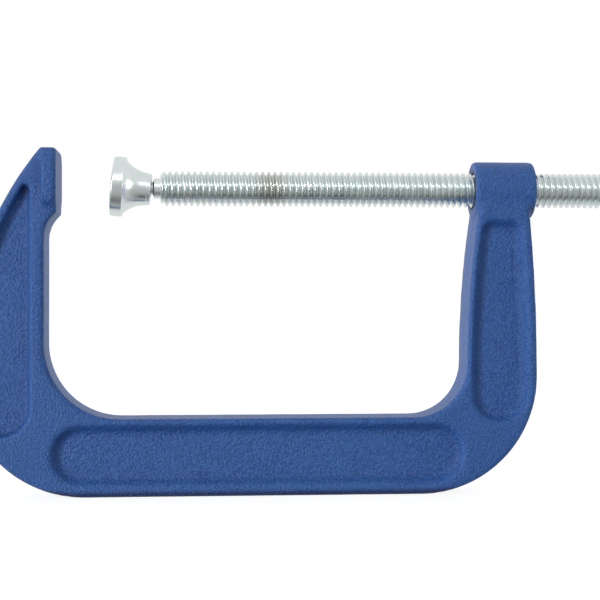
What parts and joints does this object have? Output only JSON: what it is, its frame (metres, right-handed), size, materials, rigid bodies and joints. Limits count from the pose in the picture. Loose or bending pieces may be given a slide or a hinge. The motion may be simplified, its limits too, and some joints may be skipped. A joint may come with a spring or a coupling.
{
  "type": "c clamp",
  "caption": "Cast C-frame clamp with a right-hand clamping screw, a swivel shoe on a ball nose and a sliding cross bar; 150 mm class opening.",
  "frame": {"origin": "on the anvil's flat working face, where the screw's axis meets it", "axes": "+X along the screw from the anvil to the handle, +Z from the throat to the screw, +Y across the frame's thickness"},
  "size_m": [0.2989, 0.028, 0.1437],
  "materials": {
    "blue_enamel": "baked blue enamel over a cast iron frame, satin, fine orange peel",
    "zinc_screw": "rolled steel thread, bright zinc plate",
    "zinc_shoe": "turned steel, bright zinc plate",
    "zinc_bar": "drawn steel, bright zinc plate"
  },
  "bodies": {
    "frame": {"frame": "blue_enamel"},
    "nose": {"ball_nose": "zinc_screw"},
    "screw": {"clamp_screw": "zinc_screw"},
    "shoe": {"swivel_shoe": "zinc_shoe"},
    "bar": {"tommy_bar": "zinc_bar", "bar_knob_upper": "zinc_bar", "bar_knob_lower": "zinc_bar"}
  },
  "joints": [
    {"name": "screw_feed", "type": "slide", "parent": "frame", "child": "nose", "axis": [1, 0, 0], "range_m": [-0.0197, 0.1309]},
    {"name": "screw_turn", "type": "hinge", "parent": "nose", "child": "screw", "pos_m": [0.0412, 0, 0], "axis": [1, 0, 0], "range_deg": [-2790, 18540]},
    {"name": "shoe_tilt", "type": "hinge", "parent": "nose", "child": "shoe", "pos_m": [0.0321, 0, 0], "axis": [0, 1, 0], "range_deg": [-13.4, 2.6]},
    {"name": "bar_slide", "type": "slide", "parent": "screw", "child": "bar", "axis": [0, 0, 1], "range_m": [0, 0.0758]}
  ],
  "couplings": [
    {"joint": "screw_feed", "follows": "screw_turn", "m_per_rad": 0.00040425}
  ]
}
